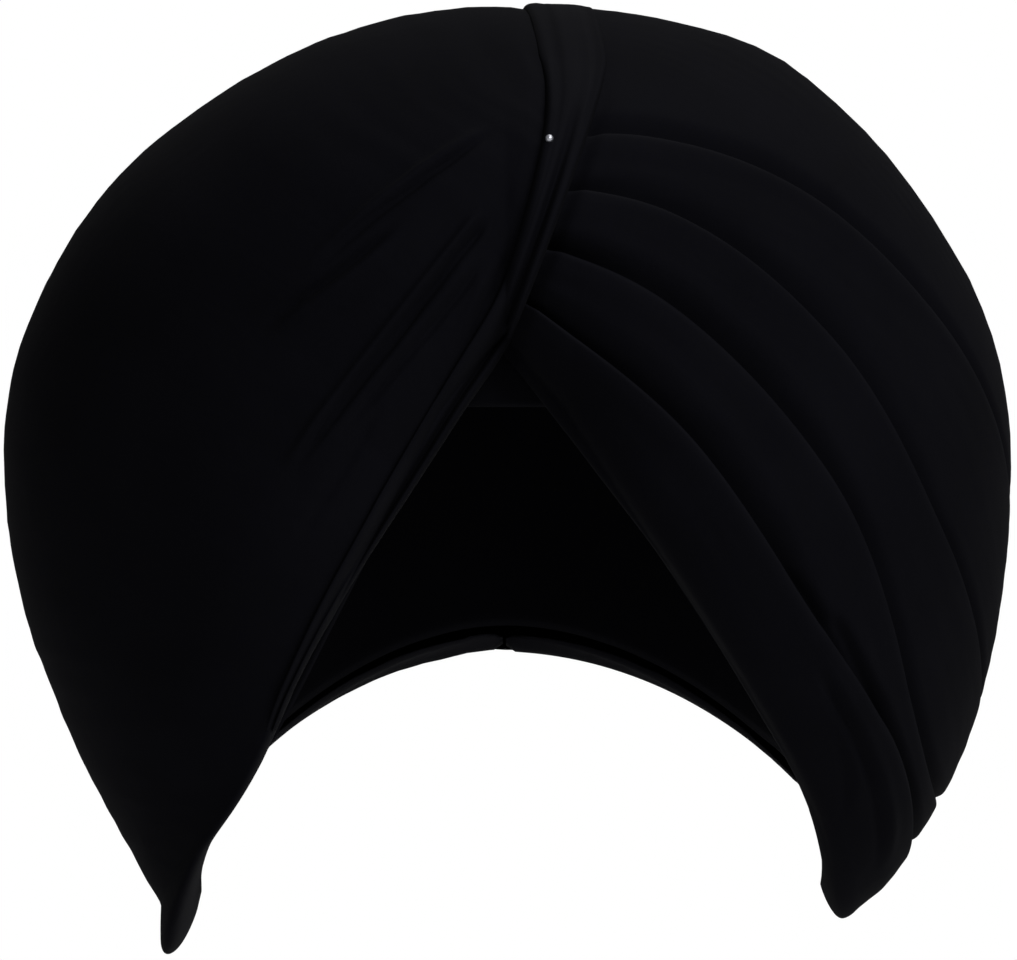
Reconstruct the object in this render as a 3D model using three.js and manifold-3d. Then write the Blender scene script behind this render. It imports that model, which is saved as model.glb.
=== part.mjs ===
import * as THREE from "three";
import { mergeVertices } from "three/addons/utils/BufferGeometryUtils.js";
import Module from "manifold-3d";

const wasm = await Module();
wasm.setup();

// Head space: its reach from the middle of the head, at the level of the brow edge, in millimetres
const headHalfWidth = 81;
const headFront = 92;
const headBack = 98;
const headRise = 88;

// Wound cloth: how thick it is on each side of the head space, over the crown and at the rim
const sideWind = 48.6;
const frontWind = 36;
const backWind = 52;
const crownWind = 16.2;
const rimWind = 11;

// How far the ear tips hang below the brow edge
const earDrop = 140;

// Under turban: its cloth, and the play between it and the wraps around it
const capThickness = 2.4;
const capClearance = 2;

// Gap between neighbouring pieces, and the relief of the folded edges
const pieceGap = 0.3;
const edgeRoll = 1.8;
const edgeRound = 0.9;
const tensionFoldDepth = 2.6;

// Centre pleat: its width over the crown and along the diagonal roll, its rise over the wraps and its bed in them
const pleatWidth = 18;
const rollWidth = 7.5;
const pleatRise = 1;
const rollRise = 4.2;
const pleatBed = 1.6;

// Pin: head and shaft
const pinHeadDiameter = 2.2;
const pinShaftDiameter = 0.8;
const pinLength = 16;
const pinSides = 12;

// Grid of the wraps: columns from the front seam round to the back seam
const columns = 20;
const capColumns = 32;
const capRows = 9;

const crownLevel = headRise + crownWind;

// Each side's outline: its reach, the level where it is widest and the depth where it would close, as shares of
// the ear drop, and how full it is above and below that level
const sides = {
  right: { reach: headHalfWidth + sideWind, widest: -0.086, close: 1.043, above: 2, shoulder: 0.4, below: 2.4 },
  left: { reach: headHalfWidth + sideWind, widest: -0.086, close: 1.186, above: 1.92, shoulder: 0, below: 1.77 },
  front: { reach: headFront + frontWind, widest: 0.2, close: 1.18, above: 2.1, shoulder: 0, below: 2.3 },
  back: { reach: headBack + backWind, widest: 0.04, close: 1.04, above: 2, shoulder: 0, below: 2.4 },
};
const shoulderPower = 8;
const planFullness = 2.1;
const headFullness = 2.2;

// Rim and folded edges: heights over the brow edge at seven places round the head, as shares of the crown
// level where they are above it and of the ear drop where they are below it
const places = { brow: 0, browSide: 20, temple: 40, cheek: 60, ear: 90, behind: 130, nape: 180 };
const rims = {
  right: { brow: 0.14, browSide: -0.193, temple: -0.478, cheek: -0.685, ear: -0.885, behind: -0.63, nape: -0.4 },
  left: { brow: 0.186, browSide: -0.228, temple: -0.59, cheek: -0.78, ear: -0.945, behind: -0.66, nape: -0.4 },
};
const foldedEdges = [
  { brow: 0.662, browSide: 0.666, temple: 0.545, cheek: 0.255, ear: -0.195, behind: -0.25, nape: -0.09 },
  { brow: 0.551, browSide: 0.479, temple: 0.181, cheek: -0.224, ear: -0.55, behind: -0.43, nape: -0.17 },
  { brow: 0.431, browSide: 0.24, temple: -0.12, cheek: -0.53, ear: -0.73, behind: -0.55, nape: -0.24 },
  { brow: 0.3, browSide: -0.02, temple: -0.372, cheek: -0.61, ear: -0.81, behind: -0.62, nape: -0.3 },
];
const tensionFolds = [
  { brow: 0.672, browSide: 0.371, temple: -0.05, cheek: -0.25, ear: -0.36, behind: -0.3, nape: -0.13, reach: 0.3 },
  { brow: 0.511, browSide: 0.013, temple: -0.41, cheek: -0.56, ear: -0.67, behind: -0.52, nape: -0.25, reach: 0.26 },
];
const highCourse = { brow: 0.8, browSide: 0.7, temple: 0.56, cheek: 0.44, ear: 0.36, behind: 0.34, nape: 0.32 };

// Seam under the centre pleat, in degrees: up the front, over the crown and down the back
const seam = {
  footAzimuth: -2.2,
  footElevation: 9,
  frontSweep: 15,
  frontRise: 40,
  frontBow: 0.75,
  backAzimuth: 171,
  backElevation: 46,
  backSweep: 11,
  backFall: 90,
};

// How far above the rim the wound cloth takes to reach its full thickness, in degrees
const tuckSpan = { brow: 28, ear: 6 };

const rad = THREE.MathUtils.degToRad;
const deg = THREE.MathUtils.radToDeg;
const { lerp, clamp } = THREE.MathUtils;

function direction(azimuth, elevation) {
  const a = rad(azimuth);
  const e = rad(elevation);
  return new THREE.Vector3(Math.cos(e) * Math.sin(a), -Math.cos(e) * Math.cos(a), Math.sin(e));
}

function azimuthOf(d) {
  return deg(Math.atan2(d.x, -d.y));
}

function elevationOf(d) {
  return deg(Math.asin(clamp(d.z, -1, 1)));
}

// Smooth curve through a table row's values at the named places, and straight on past the front
function alongPlaces(row, turned) {
  const names = Object.keys(places);
  const at = names.map((name) => places[name]);
  const values = names.map((name) => row[name]);
  const last = at.length - 1;
  const slope = (k) => (values[k + 1] - values[k]) / (at[k + 1] - at[k]);
  if (turned < 0) return values[0] + slope(0) * turned;
  const x = Math.min(turned, at[last]);
  const i = clamp(at.findIndex((place) => place >= x) - 1, 0, last - 1);
  const tangent = (k) => {
    if (k === 0) return slope(0);
    if (k === last) return 0;
    const before = at[k] - at[k - 1];
    const after = at[k + 1] - at[k];
    return (slope(k - 1) * after + slope(k) * before) / (before + after);
  };
  const span = at[i + 1] - at[i];
  const u = (x - at[i]) / span;
  const rise = 3 * u * u - 2 * u ** 3;
  const leave = u ** 3 - 2 * u * u + u;
  const arrive = u ** 3 - u * u;
  return lerp(values[i], values[i + 1], rise) + span * (leave * tangent(i) + arrive * tangent(i + 1));
}

function level(share) {
  return share * (share > 0 ? crownLevel : earDrop);
}

// Share of a side's reach that is left at a height
function sideShare(side, height) {
  const widest = side.widest * earDrop;
  if (height < widest) {
    const fall = clamp((widest - height) / (side.close * earDrop), 0, 1);
    return (1 - fall ** side.below) ** (1 / side.below);
  }
  const climb = clamp((height - widest) / (crownLevel - widest), 0, 1);
  return (1 - climb ** side.above) ** (1 / side.above) * (1 + side.shoulder * climb ** shoulderPower);
}

function planRadius(azimuth, halfWidth, halfLength, fullness) {
  const a = rad(azimuth);
  const across = (Math.abs(Math.sin(a)) / halfWidth) ** fullness;
  const along = (Math.abs(Math.cos(a)) / halfLength) ** fullness;
  return (across + along) ** (-1 / fullness);
}

function windSection(azimuth, height) {
  const across = Math.sin(rad(azimuth)) > 0 ? sides.right : sides.left;
  const along = Math.cos(rad(azimuth)) > 0 ? sides.front : sides.back;
  const halfWidth = across.reach * sideShare(across, height) + pieceGap;
  const halfLength = along.reach * sideShare(along, height) + pieceGap;
  return planRadius(azimuth, halfWidth, halfLength, planFullness);
}

function headSection(azimuth, height) {
  const climb = clamp(height / headRise, 0, 1);
  const share = (1 - climb ** headFullness) ** (1 / headFullness);
  const halfLength = Math.cos(rad(azimuth)) > 0 ? headFront : headBack;
  return planRadius(azimuth, headHalfWidth, halfLength, headFullness) * share;
}

// Distance from the middle of the head out to a surface given by its level sections
function reachOf(section, azimuth, elevation) {
  const e = rad(elevation);
  let near = 0;
  let far = 2 * (headBack + backWind + earDrop);
  for (let step = 0; step < 40; step++) {
    const middle = (near + far) / 2;
    if (middle * Math.cos(e) < section(azimuth, middle * Math.sin(e))) near = middle;
    else far = middle;
  }
  return near;
}

function headReach(azimuth, elevation) {
  return reachOf(headSection, azimuth, elevation);
}

// Elevation of the rim's inner edge
function rimElevation(azimuth) {
  const rim = Math.sin(rad(azimuth)) >= 0 ? rims.right : rims.left;
  const height = level(alongPlaces(rim, Math.abs(azimuth)));
  return deg(Math.atan2(height, headSection(azimuth, Math.min(height, 0))));
}

function windReach(azimuth, elevation) {
  const thin = headReach(azimuth, elevation) + rimWind;
  const full = Math.max(reachOf(windSection, azimuth, elevation), thin);
  const span = lerp(tuckSpan.brow, tuckSpan.ear, Math.sin(rad(azimuth)) ** 2);
  const above = clamp((elevation - rimElevation(azimuth)) / span, 0, 1);
  return lerp(thin, full, Math.sqrt(1 - (1 - above) ** 2));
}

// Elevation at which the wound surface has a given height
function elevationAt(azimuth, height) {
  let low = rimElevation(azimuth);
  let high = 89;
  for (let step = 0; step < 30; step++) {
    const middle = (low + high) / 2;
    if (windReach(azimuth, middle) * Math.sin(rad(middle)) < height) low = middle;
    else high = middle;
  }
  return low;
}

// A course is a line round one side of the turban: its elevation at the named places
function courseOf(row, sign) {
  const course = {};
  for (const [name, azimuth] of Object.entries(places)) {
    course[name] = elevationAt(sign * azimuth, level(row[name]));
  }
  return course;
}

function rimCourse(row, sign) {
  const course = {};
  for (const [name, azimuth] of Object.entries(places)) {
    const height = level(row[name]);
    course[name] = deg(Math.atan2(height, headSection(sign * azimuth, Math.min(height, 0))));
  }
  return course;
}

function frontSeam(elevation) {
  const climb = clamp((elevation - seam.footElevation) / seam.frontRise, 0, 1);
  return seam.footAzimuth + seam.frontSweep * climb ** seam.frontBow;
}

function backSeam(elevation) {
  return seam.backAzimuth + (seam.backSweep * (seam.backElevation - elevation)) / seam.backFall;
}

const frontTop = seam.footElevation + seam.frontRise;
const seamMargin = deg(pieceGap / headHalfWidth);

// The seam over the crown, from the front (0) to the back (1), moved sideways by an angle
function crownSeam(t, shift) {
  const ends = [
    direction(frontSeam(frontTop), frontTop),
    direction(seam.backAzimuth, seam.backElevation),
  ];
  const lean = ends.map((end) => Math.asin(end.x));
  const pitch = ends.map((end) => Math.atan2(end.z, -end.y));
  const l = lerp(lean[0], lean[1], t) + rad(shift);
  const p = lerp(pitch[0], pitch[1], t);
  return new THREE.Vector3(Math.sin(l), -Math.cos(l) * Math.cos(p), Math.cos(l) * Math.sin(p));
}

// Point on a course: sign 1 goes round the right side and -1 round the left
function coursePoint(course, sign, t) {
  let start = 0;
  let end = 180;
  for (let pass = 0; pass < 6; pass++) {
    start = sign * frontSeam(alongPlaces(course, start)) + seamMargin;
    end = sign > 0 ? backSeam(alongPlaces(course, end)) : 360 - backSeam(alongPlaces(course, 180));
  }
  const azimuth = lerp(start, end - seamMargin, t);
  return direction(sign * azimuth, alongPlaces(course, azimuth));
}

// Moves the ends of a row of directions onto the front and back seams
function snapToSeams(row, sign) {
  const first = row[0];
  const last = row[row.length - 1];
  const frontMiss = frontSeam(elevationOf(first)) + sign * seamMargin - azimuthOf(first);
  const wrapped = (azimuthOf(last) + 360) % 360;
  const backMiss = backSeam(elevationOf(last)) - sign * seamMargin - wrapped;
  return row.map((d, i) => {
    const t = i / (row.length - 1);
    const turn = frontMiss * (1 - t) ** 4 + backMiss * t ** 4;
    return direction(azimuthOf(d) + turn, elevationOf(d));
  });
}

function between(a, b, u) {
  const angle = a.angleTo(b);
  if (angle < 1e-6) return a.clone();
  const from = Math.sin((1 - u) * angle) / Math.sin(angle);
  const to = Math.sin(u * angle) / Math.sin(angle);
  return a.clone().multiplyScalar(from).addScaledVector(b, to);
}

function rowBetween(upper, lower, u, sign) {
  const row = [];
  for (let i = 0; i <= columns; i++) {
    const t = i / columns;
    row.push(between(upper(t), lower(t), u));
  }
  const onSeam = u === 0 && upper.isCrown;
  return onSeam ? row : snapToSeams(row, sign);
}

// Closed solid between an inner and an outer sheet over one grid of directions
function shellGeometry(rows, inner, outer) {
  const count = rows[0].length;
  const positions = [];
  for (const sheet of [inner, outer]) {
    rows.forEach((row, j) => row.forEach((d, i) => {
      const r = sheet[j][i];
      positions.push(d.x * r, d.y * r, d.z * r);
    }));
  }
  const layer = rows.length * count;
  const id = (side, j, i) => side * layer + j * count + i;
  const faces = [];
  const quad = (a, b, c, d) => faces.push(a, b, c, a, c, d);
  for (let j = 0; j < rows.length - 1; j++) {
    for (let i = 0; i < count - 1; i++) {
      quad(id(1, j, i), id(1, j + 1, i), id(1, j + 1, i + 1), id(1, j, i + 1));
      quad(id(0, j, i), id(0, j, i + 1), id(0, j + 1, i + 1), id(0, j + 1, i));
    }
  }
  for (let i = 0; i < count - 1; i++) {
    const end = rows.length - 1;
    quad(id(0, 0, i), id(1, 0, i), id(1, 0, i + 1), id(0, 0, i + 1));
    quad(id(0, end, i + 1), id(1, end, i + 1), id(1, end, i), id(0, end, i));
  }
  for (let j = 0; j < rows.length - 1; j++) {
    const end = count - 1;
    quad(id(0, j + 1, 0), id(1, j + 1, 0), id(1, j, 0), id(0, j, 0));
    quad(id(0, j, end), id(1, j, end), id(1, j + 1, end), id(0, j + 1, end));
  }
  return facingOut(positions, faces);
}

// Turns every face round if the surface encloses a negative volume
function facingOut(positions, faces) {
  const v = (k) => new THREE.Vector3().fromArray(positions, 3 * k);
  let volume = 0;
  for (let k = 0; k < faces.length; k += 3) {
    volume += v(faces[k]).dot(v(faces[k + 1]).cross(v(faces[k + 2])));
  }
  if (volume < 0) faces.reverse();
  const geometry = new THREE.BufferGeometry();
  geometry.setAttribute("position", new THREE.Float32BufferAttribute(positions, 3));
  geometry.setIndex(faces);
  return geometry;
}

function toManifold(geometry) {
  const bare = geometry.clone();
  bare.deleteAttribute("normal");
  bare.deleteAttribute("uv");
  const merged = mergeVertices(bare, 1e-5);
  const vertProperties = new Float32Array(merged.attributes.position.array);
  const triVerts = new Uint32Array(merged.index.array);
  return new wasm.Manifold(new wasm.Mesh({ numProp: 3, vertProperties, triVerts }));
}

function toGeometry(manifold) {
  const mesh = manifold.getMesh();
  const positions = [];
  for (let k = 0; k < mesh.numVert; k++) {
    positions.push(...mesh.vertProperties.slice(k * mesh.numProp, k * mesh.numProp + 3));
  }
  const geometry = new THREE.BufferGeometry();
  geometry.setAttribute("position", new THREE.Float32BufferAttribute(positions, 3));
  geometry.setIndex([...mesh.triVerts]);
  return geometry;
}

function cloth(color, roughness) {
  return new THREE.MeshStandardMaterial({ color, roughness, metalness: 0 });
}

// Innermost radius of the wraps
function wrapBase(d) {
  return headReach(azimuthOf(d), elevationOf(d)) + capThickness + capClearance;
}

function windOf(d) {
  return windReach(azimuthOf(d), elevationOf(d));
}

// Under turban: a close cap, flat-edged over the forehead and just inside the rim elsewhere
function underTurban() {
  const rimLift = 1.5;
  const browEdge = 0.3;
  const rings = [];
  for (let j = 0; j < capRows; j++) {
    const ring = [];
    for (let i = 0; i < capColumns; i++) {
      const azimuth = (360 * i) / capColumns - 180;
      const low = Math.min(browEdge, rimElevation(azimuth) + rimLift);
      ring.push(direction(azimuth, lerp(low, 90, j / capRows)));
    }
    rings.push(ring);
  }
  const positions = [];
  const thicknesses = [0, capThickness];
  for (const thickness of thicknesses) {
    for (const d of rings.flat()) {
      const r = headReach(azimuthOf(d), elevationOf(d)) + thickness;
      positions.push(d.x * r, d.y * r, d.z * r);
    }
  }
  const layer = capRows * capColumns;
  const poles = thicknesses.map((thickness) => {
    positions.push(0, 0, headRise + thickness);
    return positions.length / 3 - 1;
  });
  const id = (side, j, i) => side * layer + j * capColumns + (i % capColumns);
  const faces = [];
  const quad = (a, b, c, d) => faces.push(a, b, c, a, c, d);
  for (let i = 0; i < capColumns; i++) {
    for (let j = 0; j < capRows - 1; j++) {
      quad(id(1, j, i), id(1, j, i + 1), id(1, j + 1, i + 1), id(1, j + 1, i));
      quad(id(0, j, i), id(0, j + 1, i), id(0, j + 1, i + 1), id(0, j, i + 1));
    }
    quad(id(0, 0, i), id(0, 0, i + 1), id(1, 0, i + 1), id(1, 0, i));
    faces.push(id(1, capRows - 1, i), id(1, capRows - 1, i + 1), poles[1]);
    faces.push(id(0, capRows - 1, i + 1), id(0, capRows - 1, i), poles[0]);
  }
  return facingOut(positions, faces);
}

// Bed of the centre pleat and the pleat itself: one sweep along the seam
const pleatSections = {
  // Across the pleat from its left to its right edge, and its height as a share of its rise
  top: [
    { across: 1, height: 0.3 },
    { across: 0.86, height: 0.9 },
    { across: 0.55, height: 1 },
    { across: 0.38, height: 0.62 },
    { across: 0.24, height: 0.95 },
    { across: -0.1, height: 1 },
    { across: -0.28, height: 0.6 },
    { across: -0.44, height: 0.92 },
    { across: -0.8, height: 0.85 },
    { across: -1, height: 0.3 },
  ],
  pathSteps: { front: 12, crown: 16, back: 14 },
  tailElevation: -8,
  endShare: 0.55,
  bedRunOut: 1.2,
};

// How far the diagonal roll has spread into the full pleat
function pleatSpread(elevation) {
  return clamp((elevation - seam.footElevation) / seam.frontRise, 0, 1) ** 2;
}

function pleatHalfWidth(spread) {
  return lerp(rollWidth, pleatWidth, spread) / 2;
}

function pleatPath() {
  const { front, crown, back } = pleatSections.pathSteps;
  const { tailElevation, endShare, bedRunOut } = pleatSections;
  const foot = (elevation, share) => {
    const d = direction(frontSeam(elevation), elevation);
    return { d, spread: pleatSpread(elevation), taper: share > 0 ? 1 : endShare };
  };
  const tail = (elevation, share) => {
    return { d: direction(backSeam(elevation), elevation), spread: 1, taper: share < 1 ? 1 : endShare };
  };
  const path = [foot(seam.footElevation - bedRunOut, 0)];
  for (let k = 0; k < front; k++) {
    path.push(foot(lerp(seam.footElevation, frontTop, k / front), k / front));
  }
  for (let k = 0; k < crown; k++) path.push({ d: crownSeam(k / crown, 0), spread: 1, taper: 1 });
  for (let k = 0; k <= back; k++) {
    path.push(tail(lerp(seam.backElevation, tailElevation, k / back), k / back));
  }
  path.push(tail(tailElevation - bedRunOut, 1));
  return path.map((step, k) => {
    const ahead = path[Math.min(k + 1, path.length - 1)].d;
    const behind = path[Math.max(k - 1, 0)].d;
    return { ...step, acrossWay: ahead.clone().sub(behind).cross(step.d).normalize() };
  });
}

function sweepAlongPleat(path, sectionAt) {
  const positions = [];
  let size = 0;
  for (const { d, spread, taper, acrossWay } of path) {
    const radius = windOf(d);
    const half = pleatHalfWidth(spread) * taper;
    const section = sectionAt(half, lerp(rollRise, pleatRise, spread));
    size = section.length;
    for (const { offset, lift } of section) {
      const way = d.clone().multiplyScalar(radius).addScaledVector(acrossWay, offset).normalize();
      const r = windOf(way) + lift;
      positions.push(way.x * r, way.y * r, way.z * r);
    }
  }
  const faces = [];
  for (let k = 0; k < path.length - 1; k++) {
    for (let i = 0; i < size; i++) {
      const next = (i + 1) % size;
      const a = k * size + i;
      const b = k * size + next;
      faces.push(a, b, b + size, a, b + size, a + size);
    }
  }
  const lastRing = (path.length - 1) * size;
  for (const contour of [0, lastRing]) {
    const middle = size - 2;
    for (let i = 0; i < size; i++) {
      const next = (i + 1) % size;
      if (i === middle || next === middle) continue;
      const turn = contour === 0 ? [middle, next, i] : [middle, i, next];
      faces.push(...turn.map((k) => k + contour));
    }
  }
  return facingOut(positions, faces);
}

function pleatSection(half, rise) {
  const top = pleatSections.top.map(({ across, height }) => ({ offset: across * half, lift: height * rise }));
  const bottom = [-1, 0, 1].map((across) => ({ offset: across * half, lift: -pleatBed }));
  return [...top, ...bottom];
}

function bedSection(half, rise) {
  const wide = half + pieceGap;
  const clear = rise + pleatWidth;
  const floor = [-wide, -half, 0, half, wide].map((offset) => ({ offset, lift: -pleatBed - pieceGap }));
  return [{ offset: wide, lift: clear }, { offset: -wide, lift: clear }, ...floor];
}

// Rows of the wound layers: where each lies in its band, from the upper edge (0) to the lower (1)
const crownBandRows = [0, 0.14, 0.3, 0.46, 0.62, 0.78, 0.93];
const bandRows = [0, 0.12, 0.4, 0.68, 0.9];
const layerCount = foldedEdges.length + 1;

// How a layer's thickness grows under its folded edge and runs out under the layers over it, in bands
const edgeShare = 0.15;
const growth = 0.5;
const runOut = 1;
const overlap = 3;

function layerWeight(layer, place) {
  const start = layer === 0 ? -growth : layer;
  const end = layer + overlap > layerCount ? layerCount + runOut : layer + overlap;
  if (place < Math.max(start, 0) || place > Math.min(end, layerCount)) return 0;
  return clamp(Math.min((place - start) / growth, (end - place) / runOut), edgeShare, 1);
}

// Relief of the folded edge: rounded off at the fold and rolled up just below it
function edgeRelief(place) {
  const u = place % 1;
  if (place < 1) return 0;
  if (place === layerCount) return -edgeRound;
  if (u === 0) return -edgeRound;
  return edgeRoll * Math.exp(-(((u - 0.14) / 0.22) ** 2));
}

function woundRows() {
  const crown = Object.assign((t) => crownSeam(t, seamMargin), { isCrown: true });
  const courses = [
    ...foldedEdges.map((row) => courseOf(row, 1)),
    rimCourse(rims.right, 1),
  ].map((course) => (t) => coursePoint(course, 1, t));
  const edges = [crown, ...courses];
  const rows = [];
  for (let band = 0; band < layerCount; band++) {
    for (const u of band === 0 ? crownBandRows : bandRows) {
      rows.push({ place: band + u, dirs: rowBetween(edges[band], edges[band + 1], u, 1) });
    }
  }
  rows.push({ place: layerCount, dirs: rowBetween(edges[layerCount - 1], edges[layerCount], 1, 1) });
  return rows;
}

function layerSheets(rows, layer) {
  const start = layer;
  const end = Math.min(layer + overlap, layerCount);
  const used = rows.filter(({ place }) => place >= start && place <= end);
  const inner = [];
  const outer = [];
  for (const { place, dirs } of used) {
    const weights = [];
    for (let k = 0; k < layerCount; k++) weights.push(layerWeight(k, place));
    const total = weights.reduce((sum, w) => sum + w, 0);
    const under = weights.slice(0, layer).reduce((sum, w) => sum + w, 0);
    const through = under + weights[layer];
    const isTop = through > total - 1e-9;
    inner.push(dirs.map((d) => lerp(wrapBase(d), windOf(d) + edgeRelief(place), under / total)));
    outer.push(dirs.map((d) => {
      const r = lerp(wrapBase(d), windOf(d) + edgeRelief(place), through / total);
      return isTop ? r : r - pieceGap;
    }));
  }
  return { dirs: used.map((row) => row.dirs), inner, outer };
}

// Side wrap: one broad turn of cloth with folds that fan out from the pin
const sideWrapRows = [
  { band: 0, rows: [0, 0.04, 0.16, 0.34, 0.54, 0.72, 0.88] },
  { band: 1, rows: [0, 0.3, 0.65, 0.88] },
  { band: 2, rows: [0, 0.12, 0.5, 0.86] },
  { band: 3, rows: [0, 0.14, 0.45, 0.75, 0.94, 1] },
];

function sideWrapGrid() {
  const crown = Object.assign((t) => crownSeam(t, -seamMargin), { isCrown: true });
  const courses = [
    courseOf(highCourse, -1),
    courseOf(tensionFolds[0], -1),
    courseOf(tensionFolds[1], -1),
    rimCourse(rims.left, -1),
  ].map((course) => (t) => coursePoint(course, -1, t));
  const edges = [crown, ...courses];
  const grid = [];
  for (const { band, rows } of sideWrapRows) {
    for (const u of rows) grid.push({ place: band + u, dirs: rowBetween(edges[band], edges[band + 1], u, -1) });
  }
  return grid;
}

function tensionRelief(place, t) {
  let relief = place === sideWrapRows.length ? -edgeRound : 0;
  tensionFolds.forEach(({ reach }, k) => {
    const off = (place - (k + 2)) / 0.09;
    const fade = Math.max(0, 1 - t / reach);
    relief -= tensionFoldDepth * Math.exp(-off * off) * fade;
    relief += (tensionFoldDepth / 2) * Math.exp(-((off - 1.6) ** 2)) * fade;
  });
  return relief;
}

function sideWrap() {
  const grid = sideWrapGrid();
  const inner = grid.map(({ dirs }) => dirs.map(wrapBase));
  const outer = grid.map(({ place, dirs }) => dirs.map((d, i) => windOf(d) + tensionRelief(place, i / columns)));
  return shellGeometry(grid.map((row) => row.dirs), inner, outer);
}

// Pin: a round head on a plain shaft, pushed straight in beside the centre pleat
const pinElevation = 32;
const pinBesidePleat = 0.4;

function pinGeometry(clearance) {
  const head = pinHeadDiameter / 2 + clearance;
  const shaft = pinShaftDiameter / 2 + clearance;
  const profile = [new THREE.Vector2(0, -pinLength - clearance)];
  profile.push(new THREE.Vector2(shaft, -pinLength - clearance));
  profile.push(new THREE.Vector2(shaft, -0.4 * head));
  for (const angle of [-20, 10, 45, 70]) {
    profile.push(new THREE.Vector2(head * Math.cos(rad(angle)), 0.5 * head + head * Math.sin(rad(angle))));
  }
  profile.push(new THREE.Vector2(0, 1.5 * head));
  return new THREE.LatheGeometry(profile, pinSides).rotateX(Math.PI / 2);
}

function placePin(geometry) {
  const offset = pleatHalfWidth(pleatSpread(pinElevation)) + pinBesidePleat + pinHeadDiameter / 2;
  const ring = windReach(0, pinElevation) * Math.cos(rad(pinElevation));
  const d = direction(frontSeam(pinElevation) - deg(offset / ring), pinElevation);
  const turn = new THREE.Quaternion().setFromUnitVectors(new THREE.Vector3(0, 0, 1), d);
  geometry.applyQuaternion(turn);
  return geometry.translate(...d.multiplyScalar(windOf(d) + pieceGap).toArray());
}

const blackVoile = cloth(0x0c0c10, 0.85);
const underCloth = cloth(0x121217, 0.9);
const pinSteel = new THREE.MeshStandardMaterial({ color: 0xb8bcc4, roughness: 0.3, metalness: 1 });

const turban = new THREE.Group();

function addPiece(name, geometry, material) {
  const mesh = new THREE.Mesh(geometry, material);
  mesh.name = name;
  turban.add(mesh);
}

const bedPath = pleatPath();
const bed = toManifold(sweepAlongPleat(bedPath, bedSection));
const pinHole = toManifold(placePin(pinGeometry(pieceGap)));

addPiece("under_turban", underTurban(), underCloth);

const rows = woundRows();
for (let layer = 0; layer < layerCount; layer++) {
  const { dirs, inner, outer } = layerSheets(rows, layer);
  const wound = toManifold(shellGeometry(dirs, inner, outer)).subtract(bed);
  addPiece(`layer_${layer + 1}`, toGeometry(wound), blackVoile.clone());
}

const broadWrap = toManifold(sideWrap()).subtract(bed).subtract(pinHole);
addPiece("side_wrap", toGeometry(broadWrap), blackVoile.clone());
addPiece("centre_pleat", sweepAlongPleat(bedPath.slice(1, -1), pleatSection), blackVoile.clone());
addPiece("turban_pin", placePin(pinGeometry(0)), pinSteel);

export default turban;
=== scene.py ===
import math

import bmesh
import bpy
import numpy as np
from mathutils import Matrix, Vector, noise


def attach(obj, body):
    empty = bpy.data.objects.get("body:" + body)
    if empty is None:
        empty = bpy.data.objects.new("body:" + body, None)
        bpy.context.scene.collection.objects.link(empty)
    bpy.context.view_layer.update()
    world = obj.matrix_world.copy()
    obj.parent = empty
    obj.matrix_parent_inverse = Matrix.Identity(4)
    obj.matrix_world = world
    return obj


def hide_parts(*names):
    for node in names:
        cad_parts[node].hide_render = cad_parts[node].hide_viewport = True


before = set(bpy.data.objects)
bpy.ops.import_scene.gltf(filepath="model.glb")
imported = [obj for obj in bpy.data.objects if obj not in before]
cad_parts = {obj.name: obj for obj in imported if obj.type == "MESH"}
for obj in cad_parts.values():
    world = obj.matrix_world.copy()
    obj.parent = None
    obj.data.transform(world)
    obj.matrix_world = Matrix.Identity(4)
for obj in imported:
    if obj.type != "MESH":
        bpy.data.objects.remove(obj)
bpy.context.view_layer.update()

scene = bpy.context.scene
mm = 0.001

# The view: straight at the front from far off, so that the object is seen with next to no perspective
viewing = {"x": 0.65, "z": -18.1, "distance": 8000, "frameWidth": 262.4}


def makeCamera():
    data = bpy.data.cameras.new("camera")
    data.sensor_width = 36
    data.lens = 36 * viewing["distance"] / viewing["frameWidth"]
    data.clip_start = 0.1
    data.clip_end = 60
    camera = bpy.data.objects.new("camera", data)
    camera.location = (viewing["x"] * mm, -viewing["distance"] * mm, viewing["z"] * mm)
    camera.rotation_euler = (math.radians(90), 0, 0)
    scene.collection.objects.link(camera)
    scene.camera = camera


makeCamera()
print("camera placed")

# The wound form, in millimetres and degrees, measured from the middle of the head at the brow edge
form = {
    "headHalfWidth": 81, "headFront": 92, "headBack": 98, "headRise": 88,
    "backWind": 52, "crownWind": 16.2, "rimWind": 11, "earDrop": 140, "capThickness": 2.4, "gap": 0.3,
    "planFullness": 2.1, "headFullness": 2.2, "shoulderPower": 8,
    "tuckBrow": 28, "tuckEar": 6, "rimBlend": 12,
}
crownLevel = form["headRise"] + form["crownWind"]
headLong = form["headBack"] + form["backWind"] + form["earDrop"]

sides = {
    "right": {"reach": 129.6, "widest": -0.086, "close": 1.043, "above": 2, "shoulder": 0.4, "below": 2.4},
    "left": {"reach": 129.6, "widest": -0.086, "close": 1.186, "above": 1.92, "shoulder": 0, "below": 1.77},
    "front": {"reach": 128, "widest": 0.2, "close": 1.18, "above": 2.1, "shoulder": 0, "below": 2.3},
    "back": {"reach": 150, "widest": 0.04, "close": 1.04, "above": 2, "shoulder": 0, "below": 2.4},
}

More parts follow.
